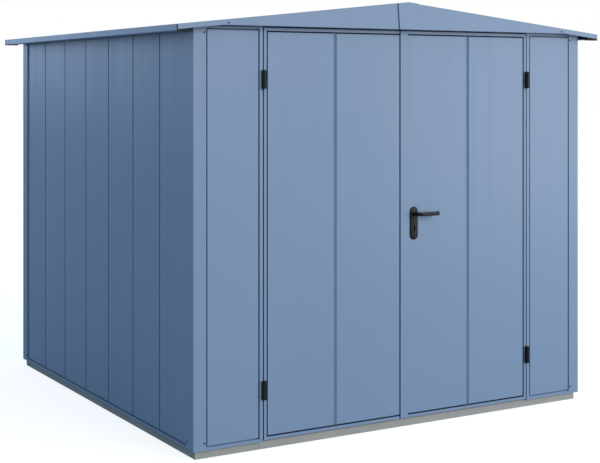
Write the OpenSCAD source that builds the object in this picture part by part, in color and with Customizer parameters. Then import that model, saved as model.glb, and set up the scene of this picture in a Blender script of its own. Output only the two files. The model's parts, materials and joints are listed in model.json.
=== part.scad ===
// Metal tool shed with a low gable roof and double doors, standing on a concrete base.
// Millimetres, +Z up, front towards -Y. The origin is on the ground at the middle of the plan.

/* [Shed] */
// Width over the corner posts
shed_w = 2380; // [2200:10:3000]
// Depth over the corner posts
shed_d = 2380; // [1600:10:3000]
// Height of the wall heads at the gables above the ground
wall_head = 2025; // [1950:5:2250]

/* [Base] */
// Height of the concrete slab
base_h = 39; // [30:1:60]
// Distance that the slab stays back from the posts
base_inset = 16.5; // [5:0.5:25]
// Chamfer along the slab's top edges
base_chamfer = 3; // [1:0.5:6]

/* [Sheet] */
// Thickness of the tray sheet
sheet_t = 0.8; // [0.5:0.1:1.2]
// Thickness of the folded rails, posts and fascias
fold_t = 1.2; // [0.8:0.1:2]
// Play between pieces that are pushed together
seat_gap = 0.3; // [0.2:0.05:0.5]

/* [Wall panels] */
// Trays on each closed side
wall_trays = 7; // [5:1:9]
// Depth of a tray's flanges
tray_depth = 22; // [16:1:28]
// Width of the groove between two trays
groove_w = 10; // [6:1:20]
// Depth of that groove
groove_depth = 12; // [4:1:14]
// Lip folded in at the end of each flange
tray_lip = 8; // [4:1:12]

/* [Front panels] */
// Step from the posts' faces back to the front panels' faces
panel_recess = 1; // [0.5:0.5:4]
// Width of the bevel round a front panel
panel_bevel = 6; // [4:0.5:10]

/* [Corner posts] */
// Leg of a post on the front or back
post_front = 67; // [50:1:90]
// Leg of a post on the left or right side
post_side = 77; // [50:1:100]
// Depth of the front legs' returns, which the front panels' rims and the back trays lie behind
front_recess = 15; // [10:0.5:22]
// Step from the side legs back to the side trays
side_recess = 6.5; // [5:0.5:12]
// Length of tray that runs on behind a post's leg
post_tuck = 15; // [8:1:25]

/* [Rails] */
// Height of the sill's lips
sill_lip = 15.5; // [12:0.5:35]
// Height of the top rails' lips
head_lip = 15; // [12:1:30]
// Distance of the outer lips from the side and back trays' faces
rail_stand = 6; // [2:0.5:6.5]
// Room behind the trays' flanges
rail_back = 2; // [0.5:0.5:4]

/* [Doors] */
// Clear width between the jambs
door_w = 1640; // [1200:10:1700]
// Face width of a jamb
jamb_w = 18; // [14:1:30]
// Wall of a jamb's tube
jamb_wall = 1.5; // [1:0.1:2.5]
// Width of the stop fin behind a leaf
stop_w = 15; // [8:1:25]
// Thickness of the stop fin
stop_t = 2.5; // [1.5:0.5:4]
// Gap between a jamb and its leaf
leaf_gap = 6; // [5:0.5:8]
// Gap between the two leaves
meeting_gap = 7; // [6:0.5:10]
// Left edge of the right leaf, left of the middle
meeting_shift = 15; // [0:1:40]
// Thickness of a leaf
leaf_t = 30; // [26:1:31]
// Gap under the leaves
leaf_foot = 6.5; // [5:0.5:15]
// Gap between the leaves and the wall heads
leaf_head = 6.5; // [6.5:0.5:15]
// Face width of a leaf's frame at the hinges
leaf_rim = 14.5; // [10:0.5:30]
// Face height of a leaf's frame at the top and bottom
leaf_rail = 14.5; // [12:0.5:40]
// Face width of the right leaf's meeting stile
meeting_stile = 46; // [30:1:60]
// Width of the flange round the back of a leaf
leaf_flange = 25; // [18:1:35]
// Step from a leaf's frame back to the face of its infill sheet
infill_recess = 1; // [0.5:0.5:4]
// Depth of the frame's returns, which the infill's rim lies behind
infill_seat = 14; // [10:0.5:16]
// Width of the bevel round an infill sheet
infill_bevel = 7; // [4:0.5:10]
// Width of the pressed groove in the middle of an infill sheet
swage_w = 22; // [14:1:40]
// Width of the flat at the bottom of that groove
swage_floor = 4; // [2:1:10]
// Depth of that groove
swage_depth = 8; // [3:0.5:10]

/* [Hinges] */
// Diameter of a hinge barrel
hinge_d = 20; // [16:1:24]
// Height of a hinge
hinge_h = 89; // [70:1:120]
// Height of the lower hinges above the slab
hinge_low = 203; // [120:1:400]
// Distance of the upper hinges' tops below the wall heads
hinge_high = 210; // [120:1:400]
// Height of the lower knuckle
knuckle_h = 20; // [12:1:30]
// Height of the pin's head
pin_head_h = 7; // [4:1:12]
// Diameter of the hinge pin
pin_d = 8; // [6:0.5:10]
// Running play round the pin and the spindle
pin_play = 0.3; // [0.2:0.05:0.5]
// Play between the knuckles
knuckle_gap = 0.6; // [0.4:0.1:1]
// Distance of the hinge axis in front of the doors
hinge_stand = 11; // [10.5:0.5:14]

/* [Lever set] */
// Height of the lever's axis above the slab
lever_height = 1046; // [900:1:1150]
// Distance of the lever's axis from the right leaf's left edge
lever_backset = 82.5; // [75:0.5:120]
// Width of a handle plate
plate_w = 48; // [34:1:50]
// Height of a handle plate
plate_h = 169; // [150:1:240]
// Thickness of a handle plate
plate_t = 8; // [6:0.5:12]
// Bevel round a handle plate's front
plate_bevel = 3; // [1:0.5:4]
// Distance of the lever's axis below the plate's top
plate_top = 36; // [30:1:60]
// Distance of the keyhole below the lever's axis
key_drop = 68; // [55:1:80]
// Diameter of the keyhole's round end
key_d = 10; // [6:0.5:12]
// Width of the keyhole's slot
key_slot_w = 5; // [3:0.5:6]
// Length of the keyhole's slot
key_slot_h = 25; // [12:1:28]
// Diameter of the collar round the lever's neck
collar_d = 24; // [20:1:30]
// Height of that collar
collar_h = 4; // [2:0.5:8]
// Thickness of the lever's bar
lever_t = 14; // [10:0.5:18]
// Height of the lever's bar
lever_h = 20; // [12:0.5:22]
// Reach of the lever from its axis
lever_reach = 133; // [100:1:150]
// Distance of the grip's middle from the infill sheet
lever_stand = 52; // [48:1:65]
// Bend radius of the lever's neck
neck_bend = 18; // [16:1:24]
// Bend radius of the lever's end
end_bend = 14; // [10:1:20]
// Straight end of the lever after that bend
end_stub = 5; // [2:1:8]
// Diameter of the spindle through the leaf
spindle_d = 8; // [6:0.5:9]
// Width of the lock case
lock_w = 80; // [70:1:90]
// Height of the lock case
lock_h = 190; // [175:1:230]

/* [Roof] */
// Pitch of the roof in degrees
roof_pitch = 6.07; // [4:0.01:10]
// Overhang at the left and right eaves
eave_over = 101; // [90:1:160]
// Overhang at the front gable
front_over = 47; // [30:1:80]
// Overhang at the back gable
back_over = 46; // [30:1:80]
// Distance of the eave's top edge below the wall heads
eave_drop = 0.7; // [0:0.1:4]
// Trays on each slope
roof_trays = 7; // [5:1:9]
// Height of the eave fascia
fascia_h = 29; // [28:1:50]
// Width of the flange under the eave fascia
fascia_return = 78; // [50:1:80]
// Height of the hem on that flange
fascia_hem = 4; // [2:0.5:5]
// Width that the trims lap over the roof
trim_lap = 18; // [12:1:40]
// Thickness of the plugs in the ends of the eave fascias
plug_t = 14; // [6:1:16]
// Wall of those plugs beside the fascia
plug_wall = 8; // [4:0.5:12]
// Height of the plugs' lips below the fascia
plug_lip = 5; // [2:0.5:8]
// Height of the gable fascia's ends
gable_strip = 25; // [25:0.1:40]
// Half width of the ridge covers at their feet
cover_foot = 56; // [30:1:80]
// Half width of the ridge cap, and of the ridge covers at their heads
cap_half = 65; // [40:1:90]
// Distance of the ridge covers' faces from the gables
cover_stand = 6; // [4:0.5:10]
// Half gap between the slopes at the ridge
ridge_gap = 4; // [3.5:0.5:6]
// Width of the ridge beam
beam_w = 50; // [40:1:80]
// Height of the ridge beam
beam_h = 40; // [30:1:60]
// Wall of the ridge beam and its posts
beam_wall = 1.5; // [1:0.1:2.5]
// Lips of the ridge beam
beam_lip = 12; // [8:1:16]
// Depth of the posts under the ridge beam
beam_post_depth = 22; // [16:1:24]
// Foot of the filler strips on the side walls
filler_foot = 15; // [10:1:18]

/* [Hidden] */
$fn = 48;
// Steps in each of the lever's bends
bend_steps = 8;
// Overshoot of the cuts, and overlap of solids that are joined
overcut = 1;

// Depth of the rails behind the trays' faces
rail_depth = tray_depth + rail_back + fold_t;
// Runs of trays between the posts
front_run = shed_w - 2 * (post_front - post_tuck);
side_run = shed_d - 2 * (post_side - post_tuck);
// Length of the rails, and of their outer lips between the posts
side_rail_l = shed_d - 2 * (fold_t + seat_gap);
side_lip_l = shed_d - 2 * (post_side + seat_gap);
front_rail_l = shed_w - 2 * (side_recess + rail_depth + seat_gap);
front_lip_l = shed_w - 2 * (post_front + seat_gap);

// Roof line: the top of the trims, in the plane across the ridge
roof_half = shed_w / 2 + eave_over;
eave_z = wall_head - eave_drop;
apex_z = eave_z + roof_half * tan(roof_pitch);
function roof_z(x) = apex_z - abs(x) * tan(roof_pitch);
// Height of a plane that lies a depth below the roof line
function under_roof_z(x, depth) = roof_z(x) - depth / cos(roof_pitch);
// Depth of the roof trays' tops and of their flanges below the roof line
roof_lap = fold_t + seat_gap;
roof_build = roof_lap + tray_depth;
// Top of the ridge cap, and the height of its edges
cap_top = apex_z + roof_lap / cos(roof_pitch);
cap_edge = cap_top - cap_half * tan(roof_pitch);
side_head = under_roof_z(shed_w / 2 - side_recess + rail_stand, roof_build) - seat_gap;
front_y = -shed_d / 2 - front_over;
back_y = shed_d / 2 + back_over;
gable_corner = (apex_z - gable_strip - wall_head) / tan(roof_pitch);
soffit_end = front_rail_l / 2;

// Doors, in the plane of the front posts' faces
face_y = -shed_d / 2;
leaf_bottom = base_h + leaf_foot;
leaf_top = wall_head - leaf_head;
leaf_h = leaf_top - leaf_bottom;
leaf_edge = door_w / 2 - leaf_gap;
right_leaf_edge = -meeting_shift;
stile_end = right_leaf_edge + meeting_stile + seat_gap;
left_leaf_edge = right_leaf_edge - meeting_gap;
hinge_x = door_w / 2 - leaf_gap / 2;
hinge_y = face_y - hinge_stand;
hinge_zs = [base_h + hinge_low, wall_head - hinge_high - hinge_h];
jamb_depth = front_recess + tray_depth + rail_back - seat_gap;
panel_start = door_w / 2 + jamb_w + seat_gap;

// Lever set, on the infill sheet of the right leaf
lever_x = right_leaf_edge + lever_backset;
lever_z = base_h + lever_height;
infill_y = face_y + infill_recess;
infill_back = infill_y + sheet_t;
leaf_back = face_y + leaf_t;

blue = "#7b93af";
black = "#262627";
concrete = "#9da09d";

// Left-hand normal of the fold from a to b
function fold_normal(a, b) = let(d = (b - a) / norm(b - a)) [-d[1], d[0]];

// A fold line moved sideways by the sheet's thickness, mitred at its bends
function fold_back(path, t) = [
  for (i = [0 : len(path) - 1])
    let(
      before = fold_normal(path[max(i - 1, 0)], path[max(i, 1)]),
      after = fold_normal(path[min(i, len(path) - 2)], path[min(i + 1, len(path) - 1)])
    )
    path[i] + t * (before + after) / (1 + before * after)
];

function reversed(list) = [for (i = [len(list) - 1 : -1 : 0]) list[i]];

// Section of a sheet folded along a path, with its thickness to the left of the path
module folded(path, t) {
  polygon(concat(path, reversed(fold_back(path, t))));
}

// Draws a section (Y, Z) along X, centred
module along_x(length) {
  rotate([90, 0, 90])
    linear_extrude(length, center = true)
      children();
}

// Draws a section (X, Z) along Y between two places
module along_y(from, to) {
  translate([0, to, 0])
    rotate([90, 0, 0])
      linear_extrude(to - from)
        children();
}

// Turns a wall that is drawn at the front, outer face at y = 0, to the side where it stands
module stand(side) {
  turn = side == "front" ? 0 : side == "left" ? -90 : side == "back" ? 180 : 90;
  reach = side == "front" || side == "back" ? shed_d / 2 : shed_w / 2;
  rotate([0, 0, turn])
    translate([0, -reach, 0])
      children();
}

// Section of a tray: flat face, bevelled edges that form the grooves, flanges and lips behind
module tray_section(w) {
  half = w / 2;
  flat_half = half - groove_w / 2;
  folded([
    [-half + tray_lip, tray_depth], [-half, tray_depth], [-half, groove_depth], [-flat_half, 0],
    [flat_half, 0], [half, groove_depth], [half, tray_depth], [half - tray_lip, tray_depth]
  ], sheet_t);
}

// Row of upright trays that fills a run between the posts
module tray_row(run, recess, head) {
  pitch = run / wall_trays;
  bottom = base_h + fold_t;
  for (i = [0 : wall_trays - 1])
    translate([(i - (wall_trays - 1) / 2) * pitch, recess, bottom])
      linear_extrude(head - fold_t - bottom)
        tray_section(pitch - seat_gap);
}

// Channel on the slab that the trays stand in, or turned over on their heads
module rail_section(lip, stand, up) {
  s = up ? 1 : -1;
  folded([
    [-stand, s * lip], [-stand, 0], [rail_depth, 0], [rail_depth, s * lip]
  ], s * fold_t);
}

// Rail with its outer lip cut away behind the posts
module rail(length, lip_length, recess, stand, z, lip, up) {
  end_cut = (length - lip_length) / 2 + overcut;
  difference() {
    translate([0, recess, z])
      along_x(length)
        rail_section(lip, stand, up);
    for (side = [-1, 1])
      translate([
        side * (lip_length + end_cut) / 2 - end_cut / 2, recess - stand - overcut, z - lip - overcut
      ])
        cube([end_cut, stand + overcut + seat_gap, 2 * (lip + overcut)]);
  }
}

module side_rail(side, z, lip, up) {
  color(blue)
    stand(side)
      rail(side_rail_l, side_lip_l, side_recess, rail_stand, z, lip, up);
}

module back_rail(z, lip, up) {
  color(blue)
    stand("back")
      rail(front_rail_l, front_lip_l, front_recess, rail_stand, z, lip, up);
}

// The front rails' lips are flush with the posts
module front_rail(z, lip, up) {
  stand("front")
    rail(front_rail_l, front_lip_l, front_recess, front_recess, z, lip, up);
}

// Piece of the front sill between a corner and the doorway
module front_sill(side) {
  color(blue)
    intersection() {
      front_rail(base_h, sill_lip, true);
      translate([side > 0 ? panel_start : -shed_w, -shed_d, 0])
        cube([shed_w - panel_start, shed_d, wall_head]);
    }
}

// The front top rail has no lip over the doors
module front_top_rail() {
  color(blue)
    difference() {
      front_rail(wall_head, head_lip, false);
      translate([-panel_start, face_y - overcut, wall_head - head_lip - overcut])
        cube([2 * panel_start, overcut + fold_t + seat_gap, head_lip + overcut - fold_t]);
    }
}

module base_slab() {
  w = shed_w - 2 * base_inset;
  d = shed_d - 2 * base_inset;
  color(concrete)
    intersection() {
      along_x(w)
        slab_section(d);
      rotate([0, 0, 90])
        along_x(d)
          slab_section(w);
    }
}

module slab_section(w) {
  polygon([
    [-w / 2, 0], [w / 2, 0], [w / 2, base_h - base_chamfer], [w / 2 - base_chamfer, base_h],
    [-w / 2 + base_chamfer, base_h], [-w / 2, base_h - base_chamfer]
  ]);
}

// Folded angle with returns that meet the trays; drawn at the front left corner
module corner_post(right, back) {
  color(blue)
    mirror([right ? 1 : 0, 0, 0])
      mirror([0, back ? 1 : 0, 0])
        translate([-shed_w / 2, -shed_d / 2, base_h])
          linear_extrude(wall_head - base_h)
            folded([
              [side_recess, post_side], [0, post_side], [0, 0],
              [post_front, 0], [post_front, front_recess]
            ], fold_t);
}

module side_wall_panels(side) {
  color(blue)
    stand(side)
      tray_row(side_run, side_recess, side_head);
}

module back_wall_panels() {
  color(blue)
    stand("back")
      tray_row(front_run, front_recess, wall_head);
}

// Path over a raised face, from one foot at the sheet's back over the bevels to the other foot
function face_path(feet, bevels, face, back, ribs) = concat(
  [[feet[0], back], [feet[0] + bevels[0], face]], ribs, [[feet[1] - bevels[1], face], [feet[1], back]]
);

// That path moved in by the sheet's thickness and drawn out past its back
function face_core(path, back) =
  let(inner = fold_back(path, sheet_t), last = len(inner) - 1)
  concat([[inner[0][0], back + overcut]], inner, [[inner[last][0], back + overcut]]);

// Solid with one outline seen from above and another seen from the side
module raised(across, up) {
  intersection() {
    linear_extrude(wall_head)
      polygon(across);
    along_x(2 * shed_w)
      polygon([for (p = up) [p[1], p[0]]]);
  }
}

// Sheet with a flat rim at a seat's depth and a face raised on bevels; the frame's face is at y = 0
module raised_panel(rim_x, rim_z, feet_x, bevels_x, feet_z, bevels_z, face, seat, ribs) {
  back = seat + sheet_t;
  across = face_path(feet_x, bevels_x, face, back, ribs);
  up = face_path(feet_z, bevels_z, face, back, []);
  difference() {
    union() {
      translate([rim_x[0], seat, rim_z[0]])
        cube([rim_x[1] - rim_x[0], sheet_t, rim_z[1] - rim_z[0]]);
      raised(across, up);
    }
    raised(face_core(across, back), face_core(up, back));
  }
}

// Tray with a raised face between a jamb and a post, its rim behind the lips; drawn on the right
module front_panel(left) {
  rim = [panel_start, front_run / 2];
  low = base_h + fold_t;
  high = wall_head - fold_t;
  depth = front_recess + tray_depth;
  color(blue)
    mirror([left ? 1 : 0, 0, 0])
      translate([0, face_y, 0]) {
        raised_panel(
          rim, [low, high],
          [rim[0], shed_w / 2 - post_front - seat_gap], [panel_bevel, panel_bevel],
          [base_h + sill_lip + seat_gap, wall_head - head_lip - seat_gap], [panel_bevel, panel_bevel],
          panel_recess, front_recess, []
        );
        translate([0, 0, low])
          linear_extrude(high - low) {
            folded([[rim[0] + tray_lip, depth], [rim[0], depth], [rim[0], front_recess]], sheet_t);
            folded([[rim[1], front_recess], [rim[1], depth], [rim[1] - tray_lip, depth]], sheet_t);
          }
      }
}

// Tube with a fin that the leaf closes against; drawn on the right
module jamb(left) {
  color(blue)
    mirror([left ? 1 : 0, 0, 0])
      translate([door_w / 2, face_y, base_h])
        linear_extrude(wall_head - fold_t - base_h) {
          difference() {
            square([jamb_w, jamb_depth]);
            translate([jamb_wall, jamb_wall])
              square([jamb_w - 2 * jamb_wall, jamb_depth - 2 * jamb_wall]);
          }
          translate([-stop_w, jamb_depth - stop_t])
            square([stop_w + jamb_wall, stop_t]);
        }
}

// Places what is drawn on the plane z = 0, with x down the slope, on the right slope's trays
module on_slope() {
  translate([0, 0, under_roof_z(0, roof_lap)])
    rotate([0, roof_pitch, 0])
      children();
}

roof_front = front_y + fold_t + seat_gap;
roof_back = back_y - fold_t - seat_gap;
roof_tray_pitch = (roof_back - roof_front) / roof_trays;
slope_end = (roof_half - plug_wall - seat_gap) / cos(roof_pitch);

// Trays from the ridge to the eave, flanges down; drawn on the right
module roof_panels(left) {
  color(blue)
    mirror([left ? 1 : 0, 0, 0])
      on_slope()
        for (i = [0 : roof_trays - 1])
          translate([slope_end, roof_front + (i + 0.5) * roof_tray_pitch, 0])
            rotate([-90, 0, 90])
              linear_extrude(slope_end - ridge_gap)
                tray_section(roof_tray_pitch - seat_gap);
}

// Folded strip over the ridge, on the gables' laps
module ridge_cap() {
  color(blue)
    along_y(front_y, back_y)
      folded([[-cap_half, cap_edge], [0, cap_top], [cap_half, cap_edge]], -fold_t);
}

// Shallow lid over the joint of a gable's halves and the end of the ridge cap; drawn at the front
module ridge_cover(back) {
  edge = back ? back_y : -front_y;
  color(blue)
    mirror([0, back ? 1 : 0, 0])
      difference() {
        along_y(-edge - cover_stand, -edge - seat_gap)
          cover_outline(0);
        along_y(-edge - cover_stand + fold_t, -edge + overcut)
          cover_outline(fold_t);
      }
}

// Outline of a ridge cover, drawn in by a margin
module cover_outline(margin) {
  drop = margin / cos(roof_pitch);
  foot = cover_foot - drop;
  head = cap_half - drop;
  polygon([
    [-foot, wall_head + margin], [-head, cap_edge - drop], [0, cap_top - drop],
    [head, cap_edge - drop], [foot, wall_head + margin]
  ]);
}

beam_top = under_roof_z(beam_w / 2, roof_build) - seat_gap;
beam_bottom = beam_top - beam_h;

// Channel under the ridge, open downwards
module ridge_beam() {
  color(blue)
    along_y(roof_front + sheet_t, roof_back - sheet_t)
      folded([
        [-beam_w / 2 + beam_lip, beam_bottom], [-beam_w / 2, beam_bottom], [-beam_w / 2, beam_top],
        [beam_w / 2, beam_top], [beam_w / 2, beam_bottom], [beam_w / 2 - beam_lip, beam_bottom]
      ], -beam_wall);
}

// Short channels on the front and back top rails that carry the ridge beam
module ridge_beam_posts() {
  foot = wall_head + fold_t;
  color(blue)
    for (side = ["front", "back"])
      stand(side)
        translate([0, front_recess, foot])
          linear_extrude(beam_bottom - foot)
            folded([
              [-beam_w / 2, beam_post_depth], [-beam_w / 2, 0],
              [beam_w / 2, 0], [beam_w / 2, beam_post_depth]
            ], beam_wall);
}

// Channel along the eave: lap on the roof, face, flange below and hem; drawn on the right
module eave_fascia(left) {
  low = eave_z - fascia_h;
  inner = roof_half - fascia_return;
  lap = roof_half - trim_lap;
  color(blue)
    mirror([left ? 1 : 0, 0, 0])
      along_y(front_y + fold_t + seat_gap + plug_t, back_y - fold_t - seat_gap - plug_t)
        folded([
          [lap, roof_z(lap)], [roof_half, eave_z], [roof_half, low],
          [inner, low], [inner, low + fascia_hem]
        ], -fold_t);
}

// Plugs that close the ends of the eave fascias
module eave_plugs() {
  low = eave_z - fascia_h - plug_lip;
  inner = roof_half - fascia_return;
  arm = roof_half - plug_wall;
  step = under_roof_z(roof_half, roof_build + 2 * seat_gap);
  color(black)
    for (left = [0, 1])
      mirror([left, 0, 0])
        for (y = [front_y + fold_t + seat_gap, back_y - fold_t - seat_gap - plug_t])
          along_y(y, y + plug_t)
            polygon([
              [inner, low], [roof_half, low], [roof_half, under_roof_z(roof_half, roof_lap)],
              [arm, under_roof_z(arm, roof_lap)], [arm, step], [inner, step]
            ]);
}

// Angle strips that close the wall heads between the roof trays' flanges
module eave_fillers() {
  x = shed_w / 2 - side_recess;
  top = under_roof_z(x, roof_lap + sheet_t) - seat_gap;
  end = -face_y - fold_t - seat_gap;
  w = roof_tray_pitch - seat_gap - 2 * (tray_lip + sheet_t);
  color(blue)
    for (left = [0, 1])
      mirror([left, 0, 0])
        for (i = [0 : roof_trays - 1])
          let(middle = roof_front + (i + 0.5) * roof_tray_pitch)
            filler_strip(x, top, max(middle - w / 2, -end), min(middle + w / 2, end));
}

module filler_strip(x, top, from, to) {
  along_y(from, to)
    folded([[x - filler_foot, side_head], [x, side_head], [x, top]], fold_t);
}

// Half of a gable fascia: plate, lap on the roof, and the soffit behind; drawn at the front left
module gable_half(over) {
  edge = shed_d / 2 + over;
  corner_lap = roof_half - trim_lap - seat_gap;
  along_y(-edge, -edge + fold_t)
    polygon([
      [-seat_gap, wall_head], [-seat_gap, roof_z(seat_gap)], [-roof_half, eave_z],
      [-roof_half, eave_z - gable_strip], [-gable_corner, wall_head]
    ]);
  gable_lap(-edge, -edge + fold_t + plug_t, roof_half);
  gable_lap(-edge, -edge + trim_lap, corner_lap);
  soffit(-edge, -gable_corner, -seat_gap);
  soffit(-edge + fold_t + 2 * seat_gap + sheet_t + tray_lip, -soffit_end, -gable_corner + overcut);
}

// Lap of a gable half on the roof, from the middle to a distance from it
module gable_lap(from, to, reach) {
  along_y(from, to)
    folded([[-reach, roof_z(reach)], [-seat_gap, roof_z(seat_gap)]], -fold_t);
}

// Strip of soffit from the fascia back over the top rail
module soffit(y, from, to) {
  back = -shed_d / 2 + front_recess + rail_depth;
  translate([from, y, wall_head])
    cube([to - from, back - y, fold_t]);
}

module gable(left, back) {
  color(blue)
    mirror([left ? 0 : 1, 0, 0])
      mirror([0, back ? 1 : 0, 0])
        gable_half(back ? back_over : front_over);
}

// Lower knuckle, foot, pin and head of each hinge on a jamb; drawn on the right
module hinge_pins(left) {
  color(black)
    mirror([left ? 1 : 0, 0, 0])
      for (z = hinge_zs)
        translate([hinge_x, hinge_y, z]) {
          cylinder(d = hinge_d, h = knuckle_h);
          cylinder(d = pin_d, h = hinge_h);
          translate([0, 0, hinge_h - pin_head_h])
            cylinder(d = hinge_d, h = pin_head_h);
          hinge_foot(1, 0, knuckle_h);
        }
}

// Upper knuckle and foot of each hinge on a leaf; drawn on the right
module hinge_knuckles(left) {
  low = knuckle_h + knuckle_gap;
  high = hinge_h - pin_head_h - knuckle_gap;
  color(black)
    mirror([left ? 1 : 0, 0, 0])
      for (z = hinge_zs)
        translate([hinge_x, hinge_y, z])
          difference() {
            union() {
              translate([0, 0, low])
                cylinder(d = hinge_d, h = high - low);
              hinge_foot(-1, low, high);
            }
            cylinder(d = pin_d + 2 * pin_play, h = hinge_h);
          }
}

// Foot from a barrel back to the face that it is screwed to
module hinge_foot(side, low, high) {
  near = leaf_gap / 2 + seat_gap;
  far = hinge_d / 2;
  translate([side > 0 ? near : -far, 0, low])
    cube([far - near, hinge_stand, high - low]);
}

// Channel frame of a leaf, drawn closed. A rim of 0 leaves that edge to the infill sheet.
module leaf_frame(left, right, rim_left, rim_right, flange_left, flange_right) {
  w = right - left;
  low = leaf_bottom + leaf_rail;
  high = leaf_top - leaf_rail;
  open_left = left + rim_left;
  open_right = rim_right > 0 ? right - rim_right : right + overcut;
  ring_right = rim_right > 0 ? open_right + fold_t : right;
  difference() {
    translate([left, face_y, leaf_bottom])
      cube([w, leaf_t, leaf_h]);
    translate([left + fold_t, face_y + fold_t, leaf_bottom + fold_t])
      cube([w - 2 * fold_t, leaf_t - 2 * fold_t, leaf_h - 2 * fold_t]);
    translate([open_left, face_y - overcut, low])
      cube([open_right - open_left, overcut + infill_seat + sheet_t, high - low]);
    translate([left + flange_left, leaf_back - fold_t - overcut, leaf_bottom + leaf_flange])
      cube([w - flange_left - flange_right, fold_t + 2 * overcut, leaf_h - 2 * leaf_flange]);
  }
  difference() {
    translate([open_left - fold_t, face_y, low - fold_t])
      cube([ring_right - open_left + fold_t, infill_seat, high - low + 2 * fold_t]);
    translate([open_left, face_y - overcut, low])
      cube([open_right - open_left, infill_seat + 2 * overcut, high - low]);
  }
}

// Infill sheet with a raised face and a pressed groove in its middle, its rim behind the frame's returns
module infill(rim, feet, bevels) {
  middle = (feet[0] + feet[1]) / 2;
  floor_y = infill_recess + swage_depth;
  translate([0, face_y, 0])
    raised_panel(
      rim, [leaf_bottom + fold_t + seat_gap, leaf_top - fold_t - seat_gap],
      feet, bevels,
      [leaf_bottom + leaf_rail + seat_gap, leaf_top - leaf_rail - seat_gap], [infill_bevel, infill_bevel],
      infill_recess, infill_seat,
      [
        [middle - swage_w / 2, infill_recess], [middle - swage_floor / 2, floor_y],
        [middle + swage_floor / 2, floor_y], [middle + swage_w / 2, infill_recess]
      ]
    );
}

module left_door_frame() {
  color(blue)
    leaf_frame(-leaf_edge, left_leaf_edge, leaf_rim, 0, leaf_flange, leaf_flange);
}

module left_door_panel() {
  color(blue)
    difference() {
      infill(
        [-leaf_edge + fold_t + seat_gap, left_leaf_edge],
        [-leaf_edge + leaf_rim + seat_gap, left_leaf_edge], [infill_bevel, 0]
      );
      for (z = [leaf_bottom, leaf_top - leaf_rail])
        translate([left_leaf_edge - fold_t - seat_gap, face_y + infill_seat - overcut, z - seat_gap])
          cube([2 * fold_t, sheet_t + 2 * overcut, leaf_rail + 2 * seat_gap]);
    }
}

module right_door_frame() {
  color(blue)
    leaf_frame(right_leaf_edge, leaf_edge, meeting_stile, leaf_rim, meeting_stile, leaf_flange);
}

module right_door_panel() {
  color(blue)
    difference() {
      infill(
        [right_leaf_edge + fold_t + seat_gap, leaf_edge - fold_t - seat_gap],
        [stile_end, leaf_edge - leaf_rim - seat_gap], [0, infill_bevel]
      );
      lever_holes();
    }
}

// Spindle hole and keyhole, right through the leaf
module lever_holes() {
  start = infill_y - plate_t - collar_h - overcut;
  bore = leaf_back + plate_t + collar_h + overcut - start;
  translate([lever_x, start, lever_z])
    rotate([-90, 0, 0])
      cylinder(d = spindle_d + 2 * pin_play, h = bore);
  translate([lever_x, start, lever_z - key_drop]) {
    rotate([-90, 0, 0])
      cylinder(d = key_d, h = bore);
    translate([-key_slot_w / 2, 0, -key_slot_h])
      cube([key_slot_w, bore, key_slot_h]);
  }
}

// Closed case behind the infill sheet, beside the meeting stile
module lock_case() {
  color(blue)
    difference() {
      translate([stile_end + sheet_t + seat_gap, infill_back, lever_z - key_drop / 2 - lock_h / 2])
        cube([lock_w, leaf_back - infill_back, lock_h]);
      lever_holes();
    }
}

// Plate with round ends and a bevelled front, drawn with its back on y = 0 and its front at -y
module handle_plate() {
  layers = [[0, 0, plate_t - plate_bevel], [plate_bevel, plate_t - plate_bevel, plate_bevel]];
  for (layer = layers)
    translate([lever_x, -layer[1], lever_z])
      rotate([90, 0, 0])
        linear_extrude(layer[2])
          plate_outline(layer[0]);
  translate([lever_x, -plate_t, lever_z])
    rotate([90, 0, 0])
      cylinder(d = collar_d, h = collar_h);
}

// Plate outline about the lever's axis, drawn in by a margin
module plate_outline(margin) {
  r = plate_w / 2 - margin;
  high = plate_top - plate_w / 2;
  low = plate_top - plate_h + plate_w / 2;
  translate([-r, low])
    square([2 * r, high - low]);
  translate([0, high])
    circle(r);
  translate([0, low])
    circle(r);
}

module outer_handle_plate() {
  color(black)
    difference() {
      translate([0, infill_y, 0])
        handle_plate();
      lever_holes();
    }
}

module inner_handle_plate() {
  color(black)
    difference() {
      translate([0, leaf_back, 0])
        mirror([0, 1, 0])
          handle_plate();
      lever_holes();
    }
}

// Points on an arc from one angle to another
function arc(centre, r, from, to) = [
  for (i = [0 : bend_steps])
    let(a = from + (to - from) * i / bend_steps)
    centre + r * [cos(a), sin(a)]
];

// Lever from its collar: neck, bend, grip and an end turned back towards the leaf; axis at x = 0
module lever_arm() {
  start = plate_t + collar_h + seat_gap;
  end_x = lever_reach - lever_t / 2 - end_bend;
  half = lever_t / 2;
  linear_extrude(lever_h, center = true)
    folded(concat(
      [[-half, -start]],
      arc([neck_bend, neck_bend - lever_stand], neck_bend + half, 180, 270),
      arc([end_x, end_bend - lever_stand], end_bend + half, 270, 360),
      [[end_x + end_bend + half, end_bend + end_stub - lever_stand]]
    ), lever_t);
}

// Outer and inner lever on one spindle
module door_lever() {
  color(black)
    translate([lever_x, 0, lever_z]) {
      translate([0, infill_y, 0])
        lever_arm();
      translate([0, leaf_back, 0])
        mirror([0, 1, 0])
          lever_arm();
      translate([0, infill_y - plate_t - collar_h - overcut, 0])
        rotate([-90, 0, 0])
          cylinder(d = spindle_d, h = leaf_back - infill_y + 2 * (plate_t + collar_h + overcut));
    }
}

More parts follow.
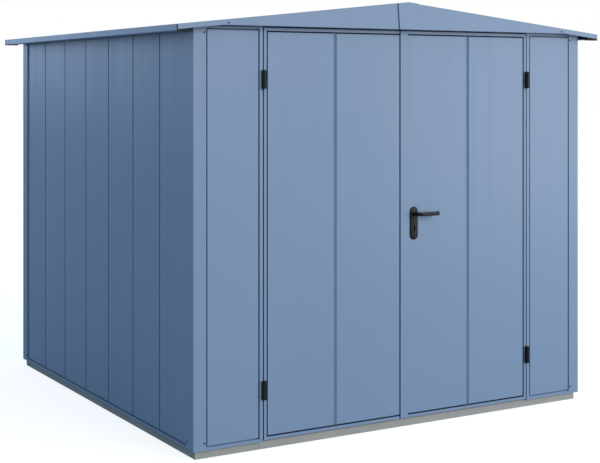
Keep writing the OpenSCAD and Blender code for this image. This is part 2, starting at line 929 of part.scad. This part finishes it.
base_slab();
side_rail("left", base_h, sill_lip, true);  // left_sill
side_rail("right", base_h, sill_lip, true);  // right_sill
back_rail(base_h, sill_lip, true);  // back_sill
front_sill(-1);  // front_left_sill
front_sill(1);  // front_right_sill
corner_post(false, false);  // front_left_post
corner_post(true, false);  // front_right_post
corner_post(false, true);  // back_left_post
corner_post(true, true);  // back_right_post
side_wall_panels("left");  // left_wall_panels
side_wall_panels("right");  // right_wall_panels
back_wall_panels();
front_panel(true);  // front_left_panel
front_panel(false);  // front_right_panel
jamb(true);  // left_jamb
jamb(false);  // right_jamb
side_rail("left", side_head, head_lip, false);  // left_top_rail
side_rail("right", side_head, head_lip, false);  // right_top_rail
back_rail(wall_head, head_lip, false);  // back_top_rail
front_top_rail();
roof_panels(true);  // left_roof_panels
roof_panels(false);  // right_roof_panels
ridge_cap();
ridge_cover(false);  // front_ridge_cover
ridge_cover(true);  // back_ridge_cover
ridge_beam();
ridge_beam_posts();
eave_fascia(true);  // left_eave_fascia
eave_fascia(false);  // right_eave_fascia
eave_plugs();
eave_fillers();
gable(true, false);  // front_gable_left
gable(false, false);  // front_gable_right
gable(true, true);  // back_gable_left
gable(false, true);  // back_gable_right
hinge_pins(true);  // left_hinge_pins
hinge_pins(false);  // right_hinge_pins
hinge_knuckles(true);  // left_hinge_knuckles
hinge_knuckles(false);  // right_hinge_knuckles
left_door_frame();
left_door_panel();
right_door_frame();
right_door_panel();
lock_case();
outer_handle_plate();
inner_handle_plate();
door_lever();
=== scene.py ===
import json
import math

import bmesh
import bpy
import numpy as np
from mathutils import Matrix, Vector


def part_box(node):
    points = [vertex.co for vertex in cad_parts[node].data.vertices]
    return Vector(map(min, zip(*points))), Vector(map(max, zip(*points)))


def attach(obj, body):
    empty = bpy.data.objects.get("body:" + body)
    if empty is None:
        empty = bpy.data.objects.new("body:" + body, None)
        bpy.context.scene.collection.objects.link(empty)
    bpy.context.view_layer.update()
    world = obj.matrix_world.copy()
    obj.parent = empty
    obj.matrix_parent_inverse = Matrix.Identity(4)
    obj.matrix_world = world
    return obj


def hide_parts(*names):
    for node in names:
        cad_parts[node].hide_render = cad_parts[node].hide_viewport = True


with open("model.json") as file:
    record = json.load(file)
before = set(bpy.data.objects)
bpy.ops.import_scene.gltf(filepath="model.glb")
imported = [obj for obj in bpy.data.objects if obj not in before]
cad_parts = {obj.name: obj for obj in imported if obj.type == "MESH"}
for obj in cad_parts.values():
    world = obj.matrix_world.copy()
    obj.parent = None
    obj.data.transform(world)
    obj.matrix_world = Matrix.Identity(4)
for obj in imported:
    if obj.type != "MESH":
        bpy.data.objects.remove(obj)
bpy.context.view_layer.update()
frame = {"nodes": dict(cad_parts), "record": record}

# Base slab: a thin cast concrete plate that the whole shed stands on, set back under the posts.
# It is poured in a form and floated, so its edges are smooth with small air pores and cloudy patches.


def linear(hex_colour):
    """Linear RGBA of an sRGB hex colour: each channel is undone from the sRGB curve."""
    channels = np.array([int(hex_colour[i:i + 2], 16) for i in (1, 3, 5)]) / 255
    low = channels / 12.92
    high = ((channels + 0.055) / 1.055) ** 2.4
    return (*np.where(channels <= 0.04045, low, high).tolist(), 1.0)


def add(owner, kind, settings=None, inputs=None):
    """Adds one shader node to a material or to the world.

    Settings are its attributes, and inputs are its socket values or the sockets that feed it. A colour mix
    has its share at socket 0 and its colours at 6 and 7, and gives the mixed colour at output 2."""
    tree = owner.node_tree
    made = tree.nodes.new(kind)
    for name, value in (settings or {}).items():
        setattr(made, name, value)
    for name, value in (inputs or {}).items():
        if isinstance(value, bpy.types.NodeSocket):
            tree.links.new(value, made.inputs[name])
        else:
            made.inputs[name].default_value = value
    return made


def blank(name):
    """An empty node material."""
    material = bpy.data.materials.new(name)
    material.use_nodes = True
    material.node_tree.nodes.clear()
    return material


def dress(names, material):
    """Puts a finish on CAD nodes."""
    for name in names:
        for slot in frame["nodes"][name].material_slots:
            slot.material = material


# Cast concrete, floated: matt and pale, with clouds a hand wide, sand grain and a scatter of small pores.
mm = 0.001
cloud_w = 160 * mm
sand_w, sand_depth, sand_share = 6 * mm, 1 * mm, 0.22
pore_gap, pore_depth = 22 * mm, 2 * mm
concrete = blank("cast_concrete_floated")
place = add(concrete, "ShaderNodeTexCoord").outputs["Object"]
clouds = add(concrete, "ShaderNodeTexNoise", None, {
    "Vector": place, "Scale": 1 / cloud_w, "Detail": 6.0, "Roughness": 0.6})
sand = add(concrete, "ShaderNodeTexNoise", None, {"Vector": place, "Scale": 1 / sand_w, "Detail": 3.0})
pores = add(concrete, "ShaderNodeTexVoronoi", None, {
    "Vector": place, "Scale": 1 / pore_gap, "Randomness": 1.0})
pore_edge = add(concrete, "ShaderNodeMapRange", None, {
    "Value": pores.outputs["Distance"], "From Min": 0.05, "From Max": 0.13, "To Min": 0.0, "To Max": 1.0})
clouded = add(concrete, "ShaderNodeMix", {"data_type": "RGBA"}, {
    0: clouds.outputs["Fac"], 6: linear("#8F9290"), 7: linear("#A3A6A2")})
sanded = add(concrete, "ShaderNodeMix", {"data_type": "RGBA", "blend_type": "OVERLAY"}, {
    0: sand_share, 6: clouded.outputs[2], 7: sand.outputs["Color"]})
pitted = add(concrete, "ShaderNodeMix", {"data_type": "RGBA"}, {
    0: pore_edge.outputs[0], 6: linear("#6F716F"), 7: sanded.outputs[2]})
pore_bump = add(concrete, "ShaderNodeBump", None, {
    "Height": pore_edge.outputs[0], "Strength": 0.6, "Distance": pore_depth})
sand_bump = add(concrete, "ShaderNodeBump", None, {
    "Height": sand.outputs["Fac"], "Strength": 0.35, "Distance": sand_depth,
    "Normal": pore_bump.outputs[0]})
shader = add(concrete, "ShaderNodeBsdfPrincipled", None, {
    "Base Color": pitted.outputs[2], "Roughness": 0.85, "Normal": sand_bump.outputs[0]})
add(concrete, "ShaderNodeOutputMaterial", None, {"Surface": shader.outputs[0]})
dress(["base_slab"], concrete)

# Sheet steel body: sills, corner posts, wall trays, rails, jambs, roof trays, trims, gables, door leaves.
# All are folded from galvanised sheet that was painted in the coil, then pushed and screwed together.


def coil_paint(name, near, darkest, unshaded_share):
    """Coil coated polyester on galvanised sheet: an even blue grey satin that the rollers laid on flat.

    Only slow waves in the sheet, faint water marks that run down and a fine orange peel break its gloss.
    The peel is a millimetre wide in life and is drawn at 5 mm. Shade is painted into the joints and
    creases: a point's open share is what it sees free of other sheet within the distance near. The painted
    shade is full at the darkest share and gone at the unshaded share."""
    mark_w, mark_run = 45 * mm, 1600 * mm
    batch_w = 700 * mm
    wave_w, wave_depth = 420 * mm, 4 * mm
    peel_w, peel_depth = 5 * mm, 0.4 * mm
    paint = blank(name)
    place = add(paint, "ShaderNodeTexCoord").outputs["Object"]
    drawn_out = add(paint, "ShaderNodeMapping", None, {
        "Vector": place, "Scale": (1 / mark_w, 1 / mark_w, 1 / mark_run)})
    water_marks = add(paint, "ShaderNodeTexNoise", None, {
        "Vector": drawn_out.outputs[0], "Scale": 1.0, "Detail": 4.0})
    batches = add(paint, "ShaderNodeTexNoise", None, {
        "Vector": place, "Scale": 1 / batch_w, "Detail": 2.0})
    peel = add(paint, "ShaderNodeTexNoise", None, {
        "Vector": place, "Scale": 1 / peel_w, "Detail": 1.0})
    waves = add(paint, "ShaderNodeTexNoise", None, {
        "Vector": place, "Scale": 1 / wave_w, "Detail": 1.0})
    toned = add(paint, "ShaderNodeMix", {"data_type": "RGBA"}, {
        0: batches.outputs["Fac"], 6: linear("#748DAA"), 7: linear("#7891AE")})
    marked_by = add(paint, "ShaderNodeMapRange", None, {
        "Value": water_marks.outputs["Fac"],
        "From Min": 0.45, "From Max": 0.75, "To Min": 0.0, "To Max": 0.25})
    marked = add(paint, "ShaderNodeMix", {"data_type": "RGBA"}, {
        0: marked_by.outputs[0], 6: toned.outputs[2], 7: linear("#708AA6")})
    # Painted shade: where little is open around a point, its colour is darkened as shade in joints,
    # creases and recesses.
    open_share = add(paint, "ShaderNodeAmbientOcclusion", {"samples": 12}, {"Distance": near})
    painted_shade = add(paint, "ShaderNodeMapRange", None, {
        "Value": open_share.outputs["AO"],
        "From Min": darkest, "From Max": unshaded_share, "To Min": 0.96, "To Max": 0.0})
    # The painted shade runs toward a deep navy, the colour that shade between blue sheets takes.
    shade_painted_colour = add(paint, "ShaderNodeMix", {"data_type": "RGBA"}, {
        0: painted_shade.outputs[0], 6: marked.outputs[2], 7: linear("#041F42")})
    satin = add(paint, "ShaderNodeMapRange", None, {
        "Value": water_marks.outputs["Fac"],
        "From Min": 0.3, "From Max": 0.7, "To Min": 0.36, "To Max": 0.42})
    wave_bump = add(paint, "ShaderNodeBump", None, {
        "Height": waves.outputs["Fac"], "Strength": 0.5, "Distance": wave_depth})
    peel_bump = add(paint, "ShaderNodeBump", None, {
        "Height": peel.outputs["Fac"], "Strength": 0.12, "Distance": peel_depth,
        "Normal": wave_bump.outputs[0]})
    shader = add(paint, "ShaderNodeBsdfPrincipled", None, {
        "Base Color": shade_painted_colour.outputs[2], "Roughness": satin.outputs[0], "Specular IOR Level": 0.36,
        "Normal": peel_bump.outputs[0]})
    add(paint, "ShaderNodeOutputMaterial", None, {"Surface": shader.outputs[0]})
    return paint


# The joints between the wall trays are open, and get deeper painted shade than the closed seams do.
# The doors' pressed grooves and the gap where the leaves close get a little more painted shade too.
# The head rails lie in the slot over the doors and under the gables, and their painted shade reaches
# furthest.
# Copies of one paint that differ only in how strongly they paint shade into their hollows.
crease_shaded_paint = coil_paint("coil_coated_polyester_steel", near=10 * mm, darkest=0.25, unshaded_share=0.68)
tray_joint_shaded_paint = coil_paint(
    "coil_coated_polyester_steel_tray_joint_shade", near=10 * mm, darkest=0.45, unshaded_share=0.95)
door_groove_shaded_paint = coil_paint("coil_coated_polyester_steel_door_groove_shade", near=10 * mm, darkest=0.40, unshaded_share=0.85)
leaf_gap_shaded_paint = coil_paint("coil_coated_polyester_steel_leaf_gap_shade", near=20 * mm, darkest=0.40, unshaded_share=0.80)
head_slot_shaded_paint = coil_paint(
    "coil_coated_polyester_steel_head_slot_shade", near=40 * mm, darkest=0.35, unshaded_share=0.75)

slot_of = {part["node"]: part["material_slot"] for part in frame["record"]["subparts"]}
painted = [name for name, slot in slot_of.items() if slot == "painted_sheet"]
dress(painted, crease_shaded_paint)
dress([name for name in painted if name.endswith("_wall_panels")], tray_joint_shaded_paint)
dress(["left_door_panel", "right_door_panel"], door_groove_shaded_paint)
dress(["left_door_frame", "right_door_frame"], leaf_gap_shaded_paint)
dress(["front_top_rail", "back_top_rail"], head_slot_shaded_paint)

# Screws: pan head screws through the posts into the rails, and through the gable fascias.
# They are steel with a dark zinc finish, driven by hand.


def skin(name, shells, material, body, loop=False, crease=35.0):
    """A closed mesh from grids of points, shells by rows by columns, that rides on a body.

    Each cell of a grid is one face. Columns join round, and rows do too where loop is set. Rows that
    shrink to a point are merged into a pole. An edge that turns by more than the crease, in degrees,
    stays sharp."""
    weld = 1e-6
    count, rows, columns = shells.shape[:3]
    index = np.arange(count * rows * columns).reshape(count, rows, columns)
    below = index if loop else index[:, :-1]
    above = np.roll(index, -1, axis=1) if loop else index[:, 1:]
    faces = np.stack([below, np.roll(below, -1, axis=2), np.roll(above, -1, axis=2), above], axis=-1)
    mesh = bpy.data.meshes.new(name)
    mesh.from_pydata(shells.reshape(-1, 3).tolist(), [], faces.reshape(-1, 4).tolist())
    work = bmesh.new()
    work.from_mesh(mesh)
    bmesh.ops.remove_doubles(work, verts=work.verts, dist=weld)
    bmesh.ops.recalc_face_normals(work, faces=work.faces)
    work.to_mesh(mesh)
    work.free()
    mesh.polygons.foreach_set("use_smooth", np.ones(len(mesh.polygons), dtype=bool))
    mesh.set_sharp_from_angle(angle=math.radians(crease))
    mesh.materials.append(material)
    piece = bpy.data.objects.new(name, mesh)
    bpy.context.scene.collection.objects.link(piece)
    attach(piece, body)
    return piece


def turned(profile, feet, axes, columns=20):
    """Shells of revolution: each profile row (radius, height) is carried round an axis that has a foot.

    A point is foot + height * axis + radius * (cos(angle) * side + sin(angle) * cross), where side is
    square to the axis and cross is square to both."""
    upright = 0.7
    feet, axes = np.asarray(feet, float), np.asarray(axes, float)
    axes = axes / np.linalg.norm(axes, axis=1, keepdims=True)
    helper = np.where(np.abs(axes[:, 2:]) > upright, [[1.0, 0.0, 0.0]], [[0.0, 0.0, 1.0]])
    side = np.cross(axes, helper)
    side = side / np.linalg.norm(side, axis=1, keepdims=True)
    cross = np.cross(axes, side)
    angle = np.linspace(0, 2 * np.pi, columns, endpoint=False)
    ring = (np.cos(angle)[None, :, None] * side[:, None, :]
            + np.sin(angle)[None, :, None] * cross[:, None, :])
    radius, height = np.asarray(profile, float).T
    return (feet[:, None, None, :] + height[None, :, None, None] * axes[:, None, None, :]
            + radius[None, :, None, None] * ring[:, None, :, :])


# Zinc, passivated dark: a dull blue grey with faint clouds that only show close up.
zinc_cloud_w = 4 * mm
dark_zinc = blank("zinc_dark_passivated")
place = add(dark_zinc, "ShaderNodeTexCoord").outputs["Object"]
clouds = add(dark_zinc, "ShaderNodeTexNoise", None, {
    "Vector": place, "Scale": 1 / zinc_cloud_w, "Detail": 2.0})
clouded = add(dark_zinc, "ShaderNodeMix", {"data_type": "RGBA"}, {
    0: clouds.outputs["Fac"], 6: linear("#2B333D"), 7: linear("#3B4450")})
shader = add(dark_zinc, "ShaderNodeBsdfPrincipled", None, {
    "Base Color": clouded.outputs[2], "Metallic": 0.3, "Roughness": 0.45})
add(dark_zinc, "ShaderNodeOutputMaterial", None, {"Surface": shader.outputs[0]})

# Pan head with a shallow driver recess, as rows of radius and height in millimetres.
pan_head = mm * np.array([
    (0, -2), (2.1, -2), (2.1, 0), (4.8, 0), (4.8, 0.9), (4.5, 1.7), (3.7, 2.3), (2.4, 2.6),
    (1.9, 2.6), (1.4, 1.4), (0, 1.2)])

# Each post has a screw near the free edge of both its legs, at the foot and at the head.
post_low, post_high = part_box("front_left_post")
edge_margin, foot_margin, head_margin = 9 * mm, 36 * mm, 35 * mm
leg_x = abs(post_high[0]) + edge_margin
leg_y = abs(post_high[1]) + edge_margin
screw_levels = (post_low[2] + foot_margin, post_high[2] - head_margin)
signs = [(a, b) for a in (-1, 1) for b in (-1, 1)]
feet = [(a * leg_x, b * abs(post_low[1]), z) for a, b in signs for z in screw_levels]
axes = [(0, b, 0) for a, b in signs for z in screw_levels]
feet += [(a * abs(post_low[0]), b * leg_y, z) for a, b in signs for z in screw_levels]
axes += [(a, 0, 0) for a, b in signs for z in screw_levels]
skin("post_screws", turned(pan_head, feet, axes), dark_zinc, "shell")

# Each gable half has one, near the corner where its lower edge turns level.
fascia_screw_x, fascia_screw_rise = 1029 * mm, 10 * mm
fascia_screw_z = post_high[2] + fascia_screw_rise
feet, axes = [], []
for side, half in ((-1, "left"), (1, "right")):
    front_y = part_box("front_gable_" + half)[0][1]
    back_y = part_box("back_gable_" + half)[1][1]
    feet += [(side * fascia_screw_x, y, fascia_screw_z) for y in (front_y, back_y)]
    axes += [(0, -1, 0), (0, 1, 0)]
skin("gable_screws", turned(pan_head, feet, axes), dark_zinc, "shell")

# Eave plugs: moulded caps pushed into the open ends of the eave channels, four in all.
# Polypropylene, moulded: matt black with a faint spark eroded grain that greys it where light grazes.
plug_grain_w, plug_grain_depth = 3 * mm, 0.4 * mm
plug_plastic = blank("moulded_polypropylene_black")
place = add(plug_plastic, "ShaderNodeTexCoord").outputs["Object"]
grain = add(plug_plastic, "ShaderNodeTexNoise", None, {
    "Vector": place, "Scale": 1 / plug_grain_w, "Detail": 2.0})
greyed = add(plug_plastic, "ShaderNodeMix", {"data_type": "RGBA"}, {
    0: grain.outputs["Fac"], 6: linear("#0B0B0B"), 7: linear("#161616")})
grain_bump = add(plug_plastic, "ShaderNodeBump", None, {
    "Height": grain.outputs["Fac"], "Strength": 0.3, "Distance": plug_grain_depth})
shader = add(plug_plastic, "ShaderNodeBsdfPrincipled", None, {
    "Base Color": greyed.outputs[2], "Roughness": 0.62, "Specular IOR Level": 0.25,
    "Normal": grain_bump.outputs[0]})
add(plug_plastic, "ShaderNodeOutputMaterial", None, {"Surface": shader.outputs[0]})
dress(["eave_plugs"], plug_plastic)

# Hinges: turned steel barrels in two knuckles on a pin, two for each leaf, screwed on from inside.
# Stove enamel on steel: satin black, a little browner and duller where dust lies in it.
dust_w = 12 * mm
enamel = blank("stove_enamel_black_steel")
place = add(enamel, "ShaderNodeTexCoord").outputs["Object"]
dust = add(enamel, "ShaderNodeTexNoise", None, {"Vector": place, "Scale": 1 / dust_w, "Detail": 3.0})
dusted = add(enamel, "ShaderNodeMix", {"data_type": "RGBA"}, {
    0: dust.outputs["Fac"], 6: linear("#08080A"), 7: linear("#101010")})
dulled = add(enamel, "ShaderNodeMapRange", None, {
    "Value": dust.outputs["Fac"], "From Min": 0.3, "From Max": 0.7, "To Min": 0.38, "To Max": 0.52})
shader = add(enamel, "ShaderNodeBsdfPrincipled", None, {
    "Base Color": dusted.outputs[2], "Roughness": dulled.outputs[0], "Specular IOR Level": 0.3})
add(enamel, "ShaderNodeOutputMaterial", None, {"Surface": shader.outputs[0]})
dress([name for name, slot in slot_of.items() if slot == "black_hinge"], enamel)

# Lever set: a moulded plate with a keyhole, a collar and a lever on each side of the right leaf.
# The plates are screwed to each other through the leaf from inside, and one spindle joins the levers.

# Glass filled nylon, moulded: satin black with a fine even grain, and a little paler where hands rub it.
nylon_grain_w, nylon_grain_depth = 1.6 * mm, 0.2 * mm
rub_w = 30 * mm
nylon = blank("moulded_glass_filled_nylon_black")
place = add(nylon, "ShaderNodeTexCoord").outputs["Object"]
grain = add(nylon, "ShaderNodeTexNoise", None, {
    "Vector": place, "Scale": 1 / nylon_grain_w, "Detail": 1.0})
rubbed = add(nylon, "ShaderNodeTexNoise", None, {
    "Vector": place, "Scale": 1 / rub_w, "Detail": 2.0})
handled = add(nylon, "ShaderNodeMix", {"data_type": "RGBA"}, {
    0: rubbed.outputs["Fac"], 6: linear("#111214"), 7: linear("#1B1C1D")})
polish = add(nylon, "ShaderNodeMapRange", None, {
    "Value": rubbed.outputs["Fac"], "From Min": 0.3, "From Max": 0.7, "To Min": 0.28, "To Max": 0.38})
grain_bump = add(nylon, "ShaderNodeBump", None, {
    "Height": grain.outputs["Fac"], "Strength": 0.25, "Distance": nylon_grain_depth})
shader = add(nylon, "ShaderNodeBsdfPrincipled", None, {
    "Base Color": handled.outputs[2], "Roughness": polish.outputs[0], "Specular IOR Level": 0.2,
    "Normal": grain_bump.outputs[0]})
add(nylon, "ShaderNodeOutputMaterial", None, {"Surface": shader.outputs[0]})

plate_low, plate_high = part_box("outer_handle_plate")
outer_back = plate_high[1]
inner_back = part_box("inner_handle_plate")[0][1]
plate_half = (plate_high[0] - plate_low[0]) / 2
plate_t = 8 * mm
collar_h = 4 * mm
axis_drop = 36 * mm
axis_x = (plate_high[0] + plate_low[0]) / 2
axis_z = plate_high[2] - axis_drop
key_drop = 68 * mm
key_z = axis_z - key_drop
key_r = 6 * mm
key_slot_half = 3 * mm
key_slot_drop = 25 * mm


def handle_plate(back_y, out):
    """Closed shell of a hollow plate: rings from its edge over the front to the keyhole and back inside.

    The outline is a straight strip with round ends, walked at even steps. Each point is joined by a ray
    to the keyhole's middle, and the keyhole's edge is where that ray leaves its circle or its slot. A ring
    lies a share of the way along the rays. Its height follows a quarter circle at the rim, then a low
    crown. The last rings go one wall back at the keyhole, out to the outline less the wall, and down to
    the leaf."""
    wall, rim_r, crown_h = 2.5 * mm, 5 * mm, 1.2 * mm
    steps, front_rings, rim_crowding = 240, 26, 1.6
    straight = plate_high[2] - plate_low[2] - 2 * plate_half
    bend = np.pi * plate_half
    walk = np.linspace(0, 2 * straight + 2 * bend, steps, endpoint=False)
    leg_up = np.clip(walk, 0, straight)
    turn = np.clip(walk - straight, 0, bend) / plate_half
    leg_down = np.clip(walk - straight - bend, 0, straight)
    turn_back = np.clip(walk - 2 * straight - bend, 0, bend) / plate_half
    heading = turn + turn_back
    x = plate_half * np.cos(heading)
    z = plate_low[2] + plate_half + leg_up - leg_down + plate_half * np.sin(heading)

    dx, dz = x, z - key_z
    reach = np.hypot(dx, dz)
    tiny = 1e-9
    across = key_slot_half / np.maximum(np.abs(dx / reach), tiny)
    down = key_slot_drop / np.maximum(-dz / reach, tiny)
    key_reach = np.where(dz < 0, np.maximum(key_r, np.minimum(across, down)), key_r)
    share = np.concatenate([[0, 0], np.linspace(0, 1, front_rings) ** rim_crowding, [1, 1, 1]])
    ray = reach[None, :] + share[:, None] * (key_reach - reach)[None, :]
    px = ray * (dx / reach)[None, :]
    pz = key_z + ray * (dz / reach)[None, :]

    edge_z = np.clip(pz, plate_low[2] + plate_half, plate_high[2] - plate_half)
    inward = plate_half - np.hypot(px, pz - edge_z)
    rise = np.sqrt(np.maximum(1 - (1 - np.clip(inward / rim_r, 0, 1)) ** 2, 0))
    crown = crown_h * np.clip(inward / plate_half, 0, 1)
    height = plate_t - rim_r - crown_h + rim_r * rise + crown
    height[0] = 0
    height[-3:-1] = plate_t - crown_h - wall
    height[-1] = 0
    px[-2:] = x - wall * np.cos(heading)
    pz[-2:] = z - wall * np.sin(heading)
    return np.stack([axis_x + px, back_y + out * height, pz], axis=-1)[None]


outer_plate = skin("outer_handle_plate_moulded", handle_plate(outer_back, -1), nylon, "right_door",
                   loop=True, crease=50.0)
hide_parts("outer_handle_plate")
inner_plate = skin("inner_handle_plate_moulded", handle_plate(inner_back, 1), nylon, "right_door",
                   loop=True, crease=50.0)
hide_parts("inner_handle_plate")

# Collar, as rows of radius and height over the leaf in millimetres: it starts inside the plate.
collar = mm * np.array([
    (0, 4), (12, 4), (12, 10.2), (11.6, 11.2), (10.8, 11.8), (9.6, 12), (9.2, 11.4), (0, 11.4)])
collar_feet = [(axis_x, outer_back, axis_z), (axis_x, inner_back, axis_z)]
collars = turned(collar, collar_feet, [(0, -1, 0), (0, 1, 0)], columns=40)
skin("handle_collars", collars, nylon, "right_door")


def lever(back_y, out):
    """Closed shell of a lever: a rounded square section carried along its neck, grip and turned end.

    The section is a superellipse |a|^n + |b|^n = 1 with n = 4. The path is straight, a quarter circle,
    straight, a quarter circle and a stub, and the section is thick at the neck, slim in the grip and full
    at the end. The first rows close the neck inside the collar. The last ones round off the tip: the
    section shrinks by close while it is carried ahead past the path's end."""
    stand, reach, stub = 52 * mm, 126 * mm, 5 * mm
    neck_r, end_r = 18 * mm, 14 * mm
    sunk = 1 * mm
    squareness = 4
    neck_rows, bend_rows, grip_rows, tail_rows, columns = 9, 12, 24, 5, 32
    neck = np.linspace(plate_t + collar_h - sunk, stand - neck_r, neck_rows)
    bend = np.linspace(0, np.pi / 2, bend_rows + 1)[1:]
    grip = np.linspace(neck_r, reach - end_r, grip_rows + 1)[1:]
    tail = np.linspace(stand - end_r, stand - end_r - stub, tail_rows + 1)[1:]
    path_x = np.concatenate([
        0 * neck, neck_r * (1 - np.cos(bend)), grip,
        reach - end_r + end_r * np.sin(bend), 0 * tail + reach])
    path_y = np.concatenate([
        neck, stand - neck_r + neck_r * np.sin(bend), 0 * grip + stand,
        stand - end_r + end_r * np.cos(bend), tail])

    step_x, step_y = np.gradient(path_x), np.gradient(path_y)
    length = np.hypot(step_x, step_y)
    normal_x, normal_y = -step_y / length, step_x / length
    far = np.concatenate([[0], np.cumsum(np.hypot(np.diff(path_x), np.diff(path_y)))])
    far = far / far[-1]
    thick = mm * np.interp(far, [0, 0.12, 0.4, 0.75, 1], [7.5, 7.2, 6.2, 6.2, 7.0])
    tall = mm * np.interp(far, [0, 0.12, 0.35, 0.8, 1], [8.5, 9.5, 10.0, 10.0, 11.0])

    neck_close = [0, 0.6, 0.9]
    tip_close = [0.97, 0.86, 0.6, 0]
    tip_ahead = [1.2, 2.6, 3.4, 3.6]
    close = np.concatenate([neck_close, np.ones(len(far)), tip_close])
    ahead = mm * np.concatenate([np.zeros(len(neck_close) + len(far)), tip_ahead])
    row = np.clip(np.arange(len(close)) - len(neck_close), 0, len(far) - 1)
    angle = np.linspace(0, 2 * np.pi, columns, endpoint=False)
    a = np.sign(np.cos(angle)) * np.abs(np.cos(angle)) ** (2 / squareness)
    b = np.sign(np.sin(angle)) * np.abs(np.sin(angle)) ** (2 / squareness)
    wide = (thick[row] * close)[:, None] * a[None, :]
    high = (tall[row] * close)[:, None] * b[None, :]
    x = path_x[row, None] + wide * normal_x[row, None] + (ahead * (step_x / length)[row])[:, None]
    y = path_y[row, None] + wide * normal_y[row, None] + (ahead * (step_y / length)[row])[:, None]
    return np.stack([axis_x + x, back_y + out * y, axis_z + high], axis=-1)


levers = np.stack([lever(outer_back, -1), lever(inner_back, 1)])
lever_pair = skin("door_lever_moulded", levers, nylon, "lever", crease=50.0)
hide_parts("door_lever")

# Studio floor: a plain pale sheet that shows white and keeps the object's shadow.
# It is matt, and adds white of its own where the camera or a glossy surface looks at it.


def seen_share(owner, mirror_share):
    """How much of the white a ray sees: all of it from the camera, the mirror share in gloss or glass.

    Any other ray sees none, so the white lights nothing."""
    ray = add(owner, "ShaderNodeLightPath")
    mirrored = add(owner, "ShaderNodeMath", {"operation": "MAXIMUM"}, {
        0: ray.outputs["Is Glossy Ray"], 1: ray.outputs["Is Transmission Ray"]})
    dimmed = add(owner, "ShaderNodeMath", {"operation": "MULTIPLY"}, {
        0: mirrored.outputs[0], 1: mirror_share})
    seen = add(owner, "ShaderNodeMath", {"operation": "MAXIMUM"}, {
        0: ray.outputs["Is Camera Ray"], 1: dimmed.outputs[0]})
    return seen.outputs[0]


floor_half = 60.0
floor_white = 0.8
floor_corners = [(a * floor_half, b * floor_half, 0) for a, b in ((-1, -1), (1, -1), (1, 1), (-1, 1))]
floor_mesh = bpy.data.meshes.new("floor")
floor_mesh.from_pydata(floor_corners, [], [(0, 1, 2, 3)])
floor = bpy.data.objects.new("floor", floor_mesh)
bpy.context.scene.collection.objects.link(floor)
floor_finish = blank("studio_floor_pale")
white_share = add(floor_finish, "ShaderNodeMath", {"operation": "MULTIPLY"}, {
    0: seen_share(floor_finish, mirror_share=0.12), 1: floor_white})
matt = add(floor_finish, "ShaderNodeBsdfDiffuse", None, {"Color": linear("#AEAFB0")})
white = add(floor_finish, "ShaderNodeEmission", None, {
    "Color": linear("#FFFFFF"), "Strength": white_share.outputs[0]})
lit = add(floor_finish, "ShaderNodeAddShader", None, {0: matt.outputs[0], 1: white.outputs[0]})
add(floor_finish, "ShaderNodeOutputMaterial", None, {"Surface": lit.outputs[0]})
floor_mesh.materials.append(floor_finish)

# Studio light: soft bluish light from all round in front of a white backdrop.
# A wide lamp lights the front from the right, a soft one lights the right corner, and a bluish one lights
# the left side from behind.
world = bpy.data.worlds.new("studio")
bpy.context.scene.world = world
world.use_nodes = True
world.node_tree.nodes.clear()
soft = add(world, "ShaderNodeBackground", None, {"Color": linear("#C8E6FF"), "Strength": 0.63})
backdrop = add(world, "ShaderNodeBackground", None, {"Color": linear("#FFFFFF"), "Strength": 1.0})
shown = add(world, "ShaderNodeMixShader", None, {
    0: seen_share(world, mirror_share=0.4), 1: soft.outputs[0], 2: backdrop.outputs[0]})
add(world, "ShaderNodeOutputWorld", None, {"Surface": shown.outputs[0]})


def lamp(name, kind, place, target, size, power, colour):
    """A lamp that points from its place at a target.

    Size is the side of an area lamp in metres, or a sun's width in degrees."""
    data = bpy.data.lights.new(name, kind)
    if kind == "SUN":
        data.angle = math.radians(size)
    else:
        data.size = size
    data.energy = power
    data.color = linear(colour)[:3]
    made = bpy.data.objects.new(name, data)
    bpy.context.scene.collection.objects.link(made)
    made.location = place
    way = np.subtract(target, place)
    tilt = math.acos(-way[2] / np.linalg.norm(way))
    heading = math.atan2(way[1], way[0]) - math.pi / 2
    made.rotation_euler = (tilt, 0, heading)


lamp("key_lamp", "SUN", place=(4.5, -10.0, 3.9), target=(0, 0, 0), size=35.0, power=1.82,
     colour="#FFF3EC")
lamp("corner_lamp", "AREA", place=(3.6, -4.4, 1.45), target=(1.0, -1.2, 1.2), size=2.0, power=44.0,
     colour="#FFFAF5")
lamp("rear_lamp", "AREA", place=(-3.6, 8.5, 3.2), target=(-1.2, 0.8, 1.9), size=2.5, power=75.0,
     colour="#B9D6FF")

# Camera: at eye height to the left of the front, held level so that upright edges stay upright.
# The lens shift brings the foot of the shed into the picture.
camera_data = bpy.data.cameras.new("camera")
camera_data.sensor_width = 36.0
camera_data.lens = 77.375
camera_data.shift_x = 0.0418
camera_data.shift_y = -0.2446
camera_data.clip_end = 200.0
camera = bpy.data.objects.new("camera", camera_data)
bpy.context.scene.collection.objects.link(camera)
camera.location = (-3.85206, -6.55237, 1.74501)
camera.rotation_euler = (math.pi / 2, 0, math.radians(-30.019))
bpy.context.scene.camera = camera
bpy.context.scene.view_settings.view_transform = "Standard"
